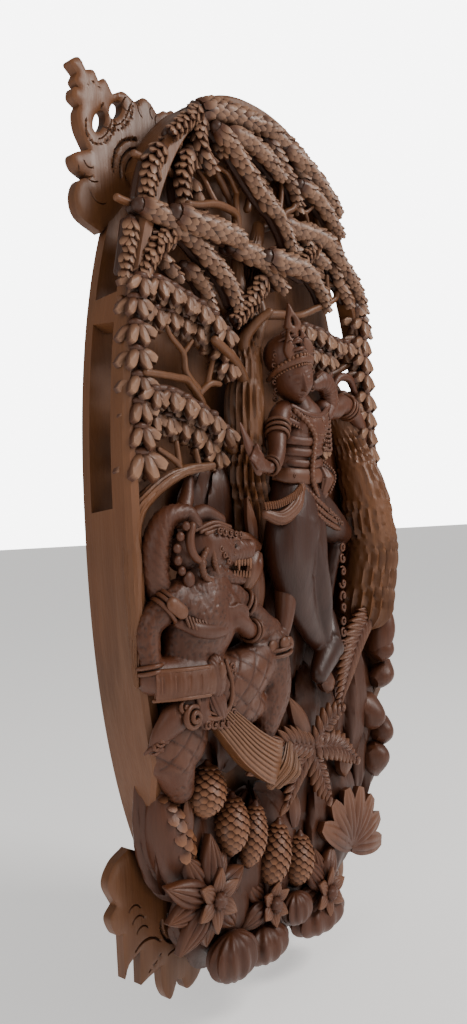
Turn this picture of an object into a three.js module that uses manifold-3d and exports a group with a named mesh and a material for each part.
// A carved wooden wall panel, made from one block: an oval back plate with a
// raised rim, open slots along both sides, four leafy corner ornaments, and a
// deep relief of trees, a standing dancer, a kneeling monkey warrior and ground
// plants. Millimetres, +X right along the wall, +Z up, back face on Y = 0.
// Depths are measured forward from the wall, so a depth d lies at Y = -d.

import * as THREE from 'three';
import { mergeVertices } from 'three/addons/utils/BufferGeometryUtils.js';
import Module from 'manifold-3d';

const wasm = await Module();
wasm.setup();

// ---------- driving dimensions ----------

const PANEL = {
  halfWidth: 250,
  halfHeight: 520,
  roundness: 2.3,
  plateDepth: 14,
  rimDepth: 70,
  rimWidth: 18,
};
// Below the slots the rim keeps its depth, then runs down to a low lip.
const RIM_FALL = { start: -235, end: -370, lip: 17 };
const SLOT = { back: 14, front: 45, bottom: 30, top: 400, strut: 240, strutHeight: 28, reach: 62 };
const ORNAMENT_DEPTH = 15;
const WOOD = { color: 0x6d4a36, roughness: 0.55, metalness: 0 };

const DEG = Math.PI / 180;

// ---------- solids and their places ----------

const at = ([x, z, depth]) => new THREE.Vector3(x, -depth, z);

function solidOf(geometry) {
  geometry.deleteAttribute('normal');
  geometry.deleteAttribute('uv');
  const merged = mergeVertices(geometry, 1e-4);
  const mesh = new wasm.Mesh({
    numProp: 3,
    vertProperties: Float32Array.from(merged.attributes.position.array),
    triVerts: Uint32Array.from(merged.index.array),
  });
  return new wasm.Manifold(mesh);
}

// A shape drawn in X and Z, made solid from one depth forward to another.
function slab(shape, back, front) {
  const geometry = new THREE.ExtrudeGeometry(shape, { depth: front - back, bevelEnabled: false });
  geometry.translate(0, 0, back);
  geometry.rotateX(90 * DEG);
  return solidOf(geometry);
}

function polygon(points) {
  return new THREE.Shape(points.map(([x, z]) => new THREE.Vector2(x, z)));
}

// A limb: a cylinder bent along a smooth line, with a radius at each point.
function limb(points, radii, sides = 8, flatness = 1) {
  const curve = new THREE.CatmullRomCurve3(points.map(at));
  const steps = Math.max(3, points.length - 1);
  const geometry = new THREE.CylinderGeometry(1, 1, 1, sides, steps);
  const along = at(points[points.length - 1]).sub(at(points[0])).normalize();
  const forward = Math.abs(along.y) > 0.8 ? new THREE.Vector3(0, 0, 1) : new THREE.Vector3(0, -1, 0);
  const position = geometry.attributes.position;
  for (let i = 0; i < position.count; i += 1) {
    const t = position.getY(i) + 0.5;
    const place = t * (radii.length - 1);
    const index = Math.min(radii.length - 2, Math.floor(place));
    const radius = THREE.MathUtils.lerp(radii[index], radii[index + 1], place - index);
    const tangent = curve.getTangent(t);
    const across = new THREE.Vector3().crossVectors(forward, tangent).normalize();
    const out = new THREE.Vector3().crossVectors(across, tangent);
    const point = curve.getPoint(t);
    point.addScaledVector(across, position.getX(i) * radius);
    point.addScaledVector(out, position.getZ(i) * radius * flatness);
    position.setXYZ(i, point.x, point.y, point.z);
  }
  return solidOf(geometry);
}

// A rounded mass, with its half sizes along X, Z and depth, turned in the wall plane.
function blob(centre, [halfX, halfZ, halfDepth], turn = 0, rows = 5) {
  const geometry = new THREE.SphereGeometry(1, rows + 2, rows);
  geometry.scale(halfX, halfDepth, halfZ);
  geometry.rotateY(-turn * DEG);
  const place = at(centre);
  geometry.translate(place.x, place.y, place.z);
  return solidOf(geometry);
}

// ---------- back plate, rim and side slots ----------

function superellipse(inset, count = 56) {
  const { halfWidth, halfHeight, roundness } = PANEL;
  const power = 2 / roundness;
  const points = [];
  for (let i = 0; i < count; i += 1) {
    const angle = (i / count) * 2 * Math.PI;
    const x = Math.sign(Math.cos(angle)) * Math.abs(Math.cos(angle)) ** power;
    const z = Math.sign(Math.sin(angle)) * Math.abs(Math.sin(angle)) ** power;
    points.push([x * (halfWidth - inset), z * (halfHeight - inset)]);
  }
  return polygon(points);
}

function plateAndRim() {
  const { plateDepth, rimDepth, rimWidth } = PANEL;
  const block = slab(superellipse(0), 0, rimDepth);
  const hollow = slab(superellipse(rimWidth), plateDepth, rimDepth + 10);
  return block.subtract(hollow).subtract(rimFallCut());
}

// What is cut from the front of the rim where it runs down to the lip.
function rimFallCut() {
  const { rimDepth, halfWidth, halfHeight } = PANEL;
  const { start, end, lip } = RIM_FALL;
  const clear = 10;
  const profile = polygon([
    [rimDepth, start], [lip, end], [lip, -halfHeight - clear],
    [rimDepth + clear, -halfHeight - clear], [rimDepth + clear, start],
  ]);
  const length = 2 * (halfWidth + clear);
  const geometry = new THREE.ExtrudeGeometry(profile, { depth: length, bevelEnabled: false });
  geometry.rotateX(90 * DEG);
  geometry.rotateZ(-90 * DEG);
  geometry.translate(length / 2, 0, 0);
  return solidOf(geometry);
}

function slotCuts() {
  const { back, front, bottom, top, strut, strutHeight, reach } = SLOT;
  const openings = [
    [bottom, strut - strutHeight / 2],
    [strut + strutHeight / 2, top],
  ];
  const inner = PANEL.halfWidth - reach * 2;
  const outer = PANEL.halfWidth + 10;
  return [-1, 1].flatMap((side) => openings.map(([low, high]) => {
    const outline = polygon([[side * inner, low], [side * outer, low], [side * outer, high], [side * inner, high]]);
    return slab(outline, back, front);
  }));
}

// ---------- corner ornaments ----------

// Top corner leaf, from its lower root round the tip to its upper root.
const TOP_ORNAMENT = [
  [-212, 330], [-240, 342], [-247, 360], [-240, 378], [-228, 386], [-244, 396], [-244, 408],
  [-224, 418], [-236, 438], [-234, 456], [-242, 468], [-234, 478], [-238, 488], [-234, 497],
  [-242, 506], [-228, 514], [-220, 503], [-209, 506], [-204, 498], [-190, 501], [-184, 490],
  [-166, 498], [-150, 490], [-137, 502], [-124, 499], [-114, 489], [-104, 496], [-90, 501],
  [-74, 490], [-120, 440], [-180, 360],
];
// Bottom corner leaf, with its four downward spikes.
const BOTTOM_ORNAMENT = [
  [-222, -340], [-240, -348], [-254, -364], [-244, -389], [-250, -406], [-237, -421], [-238, -469],
  [-228, -456], [-213, -449], [-215, -485], [-200, -483], [-184, -478], [-183, -504], [-171, -521],
  [-160, -505], [-150, -505], [-141, -522], [-129, -518], [-116, -504], [-110, -470], [-190, -360],
];
const EYES = [
  { centre: [-206, 453], half: [7, 15], turn: -30 },
  { centre: [-180, 474], half: [7, 14], turn: -38 },
];

function ornament(outline, side) {
  const points = outline.map(([x, z]) => [x * -side, z]);
  return slab(polygon(points), 0, ORNAMENT_DEPTH);
}

function eyeCut({ centre, half, turn }, side) {
  const geometry = new THREE.CylinderGeometry(1, 1, ORNAMENT_DEPTH * 3, 10);
  geometry.scale(half[0], 1, half[1]);
  geometry.rotateY(turn * side * DEG);
  geometry.translate(centre[0] * -side, 0, centre[1]);
  return solidOf(geometry);
}

// ---------- trees ----------

const TRUNKS = [
  { points: [[-248, -150, 66], [-240, -60, 64], [-234, 20, 60], [-205, 62, 62], [-130, 80, 62]], radii: [3, 10, 13, 9, 6] },
  { points: [[-22, 0, 40], [-28, 110, 48], [-20, 200, 48], [-12, 265, 50], [0, 330, 50], [-25, 395, 48]], radii: [27, 23, 22, 17, 13, 7] },
  { points: [[192, -120, 66], [200, -40, 78], [200, 30, 72], [196, 110, 50], [160, 200, 46]], radii: [34, 31, 29, 20, 9] },
];
const BRANCHES = [
  [[-12, 262, 50], [40, 268, 56], [95, 290, 54], [150, 330, 48], [168, 400, 46]],
  [[-8, 240, 46], [-60, 262, 50], [-110, 320, 52], [-170, 345, 56], [-232, 350, 60]],
  [[0, 330, 50], [40, 375, 52], [70, 420, 54], [66, 462, 50]],
  [[-25, 390, 48], [-62, 430, 50], [-90, 470, 50], [-96, 494, 52]],
  [[-30, 180, 46], [-90, 205, 50], [-150, 232, 54], [-232, 246, 58]],
  [[-130, 78, 60], [-142, 140, 52], [-168, 180, 52], [-232, 190, 58]],
  [[-142, 140, 52], [-122, 190, 50], [-120, 235, 54]],
  [[-160, 74, 60], [-150, 105, 58], [-100, 100, 60], [-70, 70, 58]],
  [[160, 200, 46], [150, 246, 52], [120, 252, 58]],
  [[160, 200, 46], [206, 222, 58], [238, 240, 66]],
  [[190, 110, 50], [222, 122, 60], [242, 128, 66]],
  [[-60, 355, 46], [-105, 385, 52], [-150, 400, 58], [-206, 402, 62]],
  [[150, 330, 48], [186, 330, 58], [206, 342, 64]],
  [[168, 380, 46], [140, 425, 56], [110, 450, 60]],
  [[0, 320, 50], [30, 316, 56], [70, 322, 58]],
];
const BRANCH_RADII = [6, 5, 4];

// Narrow sprays of small leaves: the line they follow, their half width and
// their front depth. All of them start at the same depth behind.
const SPRAY_BACK = 50;
const SPRAYS = [
  [[[-112, 478], [-160, 436], [-192, 398], [-204, 352]], 12, 80],
  [[[-112, 482], [-84, 490]], 12, 84],
  [[[-146, 425], [-152, 392], [-142, 350]], 11, 78],
  [[[-126, 440], [-118, 405], [-100, 378]], 10, 74],
  [[[-100, 462], [-50, 437], [-12, 398], [25, 370], [50, 345]], 12, 84],
  [[[-70, 472], [-15, 450], [30, 425]], 11, 80],
  [[[-78, 497], [-40, 500], [-6, 488]], 12, 84],
  [[[-5, 484], [50, 474], [90, 445], [146, 418]], 12, 82],
  [[[30, 462], [80, 440], [96, 410]], 10, 76],
  [[[84, 425], [112, 412], [142, 398]], 10, 78],
  [[[120, 392], [158, 386], [190, 370]], 9, 82],
  [[[102, 370], [150, 352], [160, 322]], 10, 78],
  [[[155, 360], [202, 336], [218, 300], [226, 282]], 12, 82],
  [[[-130, 344], [-90, 344], [-46, 336]], 12, 96],
  [[[-50, 330], [0, 330], [30, 300]], 12, 78],
  [[[26, 326], [58, 326], [92, 316]], 12, 94],
  [[[-214, 350], [-180, 340], [-142, 326]], 11, 84],
  [[[-122, 302], [-84, 284], [-54, 258]], 11, 80],
  [[[-74, 262], [-46, 272], [-22, 286]], 11, 82],
  [[[-188, 328], [-206, 290], [-226, 256]], 12, 82],
  [[[-204, 296], [-170, 284], [-136, 262]], 10, 78],
  [[[50, 392], [72, 362], [82, 330]], 10, 74],
  [[[-90, 420], [-66, 400], [-28, 384]], 10, 74],
  [[[0, 430], [44, 402], [88, 378]], 10, 72],
];

// Clusters of broad drooping leaves: centre, radius and the side they lean to.
const LEFT_TIER = [[-226, 206], [-226, 178], [-226, 149], [-226, 119], [-226, 94], [-220, 64]];
const RIGHT_TIER = [266, 240, 215, 190, 162, 137, 113, 88];
const LEAF_ROWS = [
  [[[-212, 250], [-170, 246], [-130, 236], [-96, 212], [-72, 196]], 5, 84],
  [[[-206, 228], [-165, 224], [-130, 212]], 3, 78],
  [[[-196, 140], [-150, 126], [-112, 112], [-80, 96]], 5, 88],
  [[[-192, 112], [-150, 106], [-120, 92], [-90, 70]], 4, 80],
  [[[84, 244], [126, 240], [166, 232], [206, 236]], 5, 80],
  [[[100, 216], [140, 212]], 2, 76],
  [[[168, 160], [204, 150]], 2, 80],
  [[[94, 96], [112, 90]], 2, 74],
];

// A fan of leaf lobes hanging from its centre.
function leafFan([x, z], radius, turn, back, front, lobes = 4) {
  const spread = 170 * DEG;
  const points = [[0, radius * 0.45]];
  for (let i = 0; i <= lobes * 2; i += 1) {
    const reach = i % 2 === 0 ? radius * 0.72 : radius;
    const angle = (turn - 90) * DEG + (i / (lobes * 2) - 0.5) * spread;
    points.push([reach * Math.cos(angle), reach * Math.sin(angle)]);
  }
  return slab(polygon(points.map(([px, pz]) => [x + px, z + pz])), back, front);
}

// A strip with toothed edges along a line, wide in the middle, narrow at the ends.
function toothedStrip(line, halfWidth, back, front, pitch = 36) {
  const curve = new THREE.CatmullRomCurve3(line.map(([x, z]) => new THREE.Vector3(x, z, 0)));
  const teeth = Math.max(2, Math.round(curve.getLength() / pitch));
  const left = [];
  const right = [];
  for (let i = 0; i <= teeth * 2; i += 1) {
    const t = i / (teeth * 2);
    const point = curve.getPoint(t);
    const tangent = curve.getTangent(t);
    const swell = 0.55 + 0.45 * Math.sin(Math.PI * Math.min(1, t + 0.15));
    const half = halfWidth * swell * (i % 2 === 0 ? 1 : 0.6);
    left.push([point.x - tangent.y * half, point.y + tangent.x * half]);
    right.unshift([point.x + tangent.y * half, point.y - tangent.x * half]);
  }
  return slab(polygon([...right, ...left]), back, front);
}

function trees() {
  const solids = TRUNKS.map(({ points, radii }) => limb(points, radii, 8));
  BRANCHES.forEach((points) => solids.push(limb(points, BRANCH_RADII, 3)));
  SPRAYS.forEach(([line, half, front]) => solids.push(toothedStrip(line, half, SPRAY_BACK, front)));
  LEFT_TIER.forEach((place, i) => solids.push(leafFan(place, 27, 12, 52 - i, 84)));
  RIGHT_TIER.forEach((z) => solids.push(leafFan([PANEL.halfWidth - 32, z - 2], 26, 40, 52, 86)));
  LEAF_ROWS.forEach(([line, count, front]) => {
    const curve = new THREE.CatmullRomCurve3(line.map(([x, z]) => new THREE.Vector3(x, z, 0)));
    for (let i = 0; i < count; i += 1) {
      const point = curve.getPoint(count > 1 ? i / (count - 1) : 0);
      solids.push(leafFan([point.x, point.y], 23, 18, SPRAY_BACK - 4, front, 3));
    }
  });
  return solids;
}

// ---------- figures ----------

function standingDancer() {
  return [
    blob([30, 188, 80], [34, 38, 26], -12),
    limb([[34, 200, 82], [34, 235, 84], [33, 272, 84]], [34, 20, 3], 8, 0.6),
    blob([80, 214, 74], [12, 28, 14], 8),
    blob([92, 160, 72], [18, 26, 18], -10),
    limb([[48, 160, 72], [58, 120, 74], [20, 78, 76], [34, 30, 76]], [22, 42, 34, 44], 9, 0.62),
    limb([[4, 134, 70], [-16, 104, 82], [-34, 70, 98], [-74, 72, 104]], [15, 12, 11, 13], 7),
    slab(polygon([[-84, 78], [-70, 70], [-88, 118], [-102, 122]]), 92, 106),
    limb([[122, 146, 68], [170, 146, 66], [200, 122, 66], [204, 84, 62], [216, 56, 64]], [16, 13, 11, 10, 11], 7),
    limb([[12, 20, 78], [16, -30, 92], [50, -92, 84], [82, -150, 72]], [38, 36, 28, 16], 10, 0.72),
    limb([[58, 20, 66], [118, -6, 66], [142, -20, 64]], [34, 26, 17], 8, 0.8),
    limb([[142, -14, 60], [124, -60, 56], [106, -120, 56]], [14, 10, 8], 6),
    limb([[100, -120, 66], [76, -165, 78], [28, -192, 84]], [12, 20, 18], 8, 0.8),
    limb([[-6, -58, 78], [-26, -92, 84], [-38, -118, 88]], [16, 15, 11], 7),
    limb([[20, 48, 84], [-30, 22, 92], [-60, 18, 88]], [16, 13, 6], 7),
    blob([62, 52, 82], [15, 34, 14], -8),
  ];
}

function kneelingMonkey() {
  return [
    blob([-146, -22, 80], [38, 30, 26], -10),
    limb([[-124, -26, 88], [-92, -28, 90]], [20, 12], 8),
    limb([[-128, -44, 86], [-104, -56, 88]], [14, 8], 7),
    limb([[-206, -80, 66], [-222, -30, 70], [-206, 16, 74], [-176, 20, 84]], [12, 15, 16, 12], 7),
    limb([[-180, 14, 70], [-160, 34, 66], [-146, 62, 60]], [12, 8, 5], 6),
    limb([[-150, -38, 76], [-162, -92, 78], [-186, -140, 72]], [34, 50, 36], 9, 0.68),
    limb([[-206, -66, 80], [-238, -92, 70], [-236, -138, 76], [-220, -158, 86]], [17, 14, 12, 12], 8),
    limb([[-112, -72, 80], [-66, -106, 82], [-48, -118, 84], [-98, -114, 92], [-136, -96, 98]], [16, 14, 13, 12, 12], 8),
    limb([[-228, -144, 74], [-176, -152, 82], [-132, -150, 74]], [20, 27, 20], 8, 1),
    blob([-170, -158, 96], [18, 24, 13]),
    limb([[-170, -184, 64], [-110, -160, 80], [-62, -146, 84]], [34, 32, 26], 9, 0.85),
    limb([[-52, -138, 82], [-52, -190, 82], [-74, -262, 74]], [26, 25, 13], 9, 0.9),
    blob([-192, -214, 66], [40, 40, 28], 20),
    limb([[-200, -240, 62], [-188, -272, 60]], [28, 16], 8),
    limb([[-160, -184, 88], [-130, -222, 92], [-82, -268, 92], [-44, -292, 86]], [22, 21, 20, 14], 8, 0.5),
    blob([-52, -126, 84], [20, 10, 22]),
    toothedStrip([[-214, -166], [-232, -190], [-236, -214]], 16, 50, 84),
  ];
}

// ---------- ground ----------

// Rounded rocks: centre, half sizes along X and Z, and how far forward they reach.
const ROCKS = [
  [-140, -350, 70, 60, 66], [-46, -396, 78, 78, 72], [90, -390, 80, 86, 70], [60, -250, 90, 70, 68],
  [164, -250, 60, 90, 74], [-112, -436, 70, 52, 66], [40, -462, 76, 40, 70], [-190, -300, 36, 80, 60],
  [186, -330, 40, 66, 66], [-60, 20, 70, 60, 44], [60, -120, 60, 90, 60], [-90, -190, 80, 90, 60],
  [150, 60, 60, 80, 44],
];
const ROCK_ROOT = 6;

// Toothed leaves: the line from root to tip, half width, front depth.
const FERN_LEAVES = [
  [[[14, -272], [-40, -256], [-92, -270]], 22, 100],
  [[[18, -268], [50, -246], [78, -240]], 20, 102],
  [[[20, -272], [66, -284], [106, -310]], 22, 102],
  [[[16, -278], [30, -312], [46, -344]], 20, 98],
  [[[178, -126], [134, -166], [92, -230]], 26, 92],
];
// Smooth leaves: root, tip, half width, front depth.
const BLADES = [
  [[14, -268], [-18, -206], 12, 100],
  [[-44, -24], [-52, 36], 8, 78], [[-44, -24], [-98, -4], 10, 86], [[-46, -30], [-74, -76], 14, 86],
  [[-50, -34], [-46, -112], 14, 82], [[-150, -300], [-180, -258], 9, 72], [[-184, -330], [-180, -276], 9, 76],
  [[4, -372], [6, -322], 12, 78], [[208, -190], [230, -116], 16, 100], [[204, -196], [230, -172], 15, 100],
  [[200, -230], [244, -212], 15, 95], [[190, -290], [184, -246], 18, 94], [[196, -300], [234, -300], 18, 93],
  [[186, -318], [214, -356], 20, 90], [[110, -300], [118, -340], 16, 86], [[60, -200], [92, -214], 14, 92],
];
const TUFTS = [
  { centre: [-168, -392], depth: 96, reach: 64, directions: [155, 115, 80, 45, 10, 190, 225, 270, 310], width: 15 },
  { centre: [42, -462], depth: 94, reach: 58, directions: [125, 92, 55, 5, 320, 280, 235, 185], width: 14 },
  { centre: [-60, -440], depth: 86, reach: 48, directions: [60, 130, 200, 250, 300], width: 13 },
];
const FAN = { centre: [112, -430], depth: 90, radius: 76, turn: 66 };
// Scaled buds: foot, tip, radius.
const BUDS = [
  { foot: [-180, -380, 42], tip: [-212, -268, 46], radius: 28 },
  { foot: [-160, -306, 66], tip: [-152, -252, 68], radius: 22 },
  { foot: [-122, -360, 68], tip: [-116, -296, 70], radius: 20 },
  { foot: [-92, -384, 68], tip: [-78, -316, 72], radius: 17 },
  { foot: [-54, -420, 68], tip: [-36, -350, 72], radius: 19 },
  { foot: [0, -440, 64], tip: [10, -380, 68], radius: 20 },
];
const PODS = [
  { centre: [-16, -462, 76], half: [24, 19, 16] }, { centre: [-134, -470, 74], half: [34, 26, 22] },
  { centre: [-70, -484, 66], half: [36, 22, 24] }, { centre: [40, -494, 66], half: [48, 22, 24] },
];

// A pointed smooth leaf with a swelling middle.
function blade([x0, z0], [x1, z1], halfWidth, front) {
  const run = new THREE.Vector2(x1 - x0, z1 - z0);
  const side = new THREE.Vector2(-run.y, run.x).normalize().multiplyScalar(halfWidth);
  const stations = [[0, 0.35], [0.35, 1], [0.75, 0.75], [1, 0]];
  const place = ([t, width], sign) => [x0 + run.x * t + side.x * width * sign, z0 + run.y * t + side.y * width * sign];
  const right = stations.map((station) => place(station, -1));
  const left = stations.slice(0, -1).reverse().map((station) => place(station, 1));
  return slab(polygon([...right, ...left]), front - 36, front);
}

function tuft({ centre, depth, reach, directions, width }) {
  return directions.map((direction, i) => {
    const length = reach * (i % 2 === 0 ? 1 : 0.85);
    const tip = [centre[0] + length * Math.cos(direction * DEG), centre[1] + length * Math.sin(direction * DEG)];
    return blade(centre, tip, width, depth - (i % 2) * 6);
  });
}

function rock([x, z, halfX, halfZ, front]) {
  const halfDepth = (front - ROCK_ROOT) / 2;
  return blob([x, z, ROCK_ROOT + halfDepth], [halfX, halfZ, halfDepth], 0, 3);
}

function ground() {
  const solids = ROCKS.map(rock);
  FERN_LEAVES.forEach(([line, half, front]) => solids.push(toothedStrip(line, half, front - 40, front, 28)));
  BLADES.forEach(([root, tip, half, front]) => solids.push(blade(root, tip, half, front)));
  TUFTS.forEach((item) => solids.push(...tuft(item)));
  solids.push(leafFan(FAN.centre, FAN.radius, FAN.turn, 44, FAN.depth, 6));
  BUDS.forEach(({ foot, tip, radius }) => {
    solids.push(limb([foot, tip], [radius * 0.7, radius, radius, radius * 0.75, radius * 0.3], 8));
  });
  PODS.forEach(({ centre, half }) => solids.push(blob(centre, half)));
  return solids;
}

// ---------- the panel as one solid ----------

const SMOOTHING = 1.5;

// The outer skin alone: small pockets shut in between crossing leaves are filled.
function withoutPockets(solid) {
  const [outer, ...others] = solid.decompose().sort((a, b) => b.volume() - a.volume());
  if (others.some((piece) => piece.volume() > 0)) throw new Error('a carved part is loose');
  return outer;
}

function carvedPanel() {
  const relief = [...trees(), ...standingDancer(), ...kneelingMonkey(), ...ground()];
  const corners = [-1, 1].flatMap((side) => [ornament(TOP_ORNAMENT, -side), ornament(BOTTOM_ORNAMENT, -side)]);
  const body = wasm.Manifold.union([plateAndRim(), ...corners]);
  const cuts = [...slotCuts(), ...EYES.flatMap((eye) => [eyeCut(eye, -1), eyeCut(eye, 1)])];
  const carved = wasm.Manifold.union([body.subtract(wasm.Manifold.union(cuts)), ...relief]);
  return withoutPockets(carved.asOriginal().simplify(SMOOTHING));
}

function geometryOf(solid) {
  const { vertProperties, triVerts } = solid.getMesh();
  const geometry = new THREE.BufferGeometry();
  geometry.setAttribute('position', new THREE.BufferAttribute(Float32Array.from(vertProperties), 3));
  geometry.setIndex(new THREE.BufferAttribute(Uint32Array.from(triVerts), 1));
  geometry.computeVertexNormals();
  return geometry;
}

const panel = new THREE.Mesh(geometryOf(carvedPanel()), new THREE.MeshStandardMaterial(WOOD));
panel.name = 'carved_panel';

const group = new THREE.Group();
group.add(panel);

export default group;
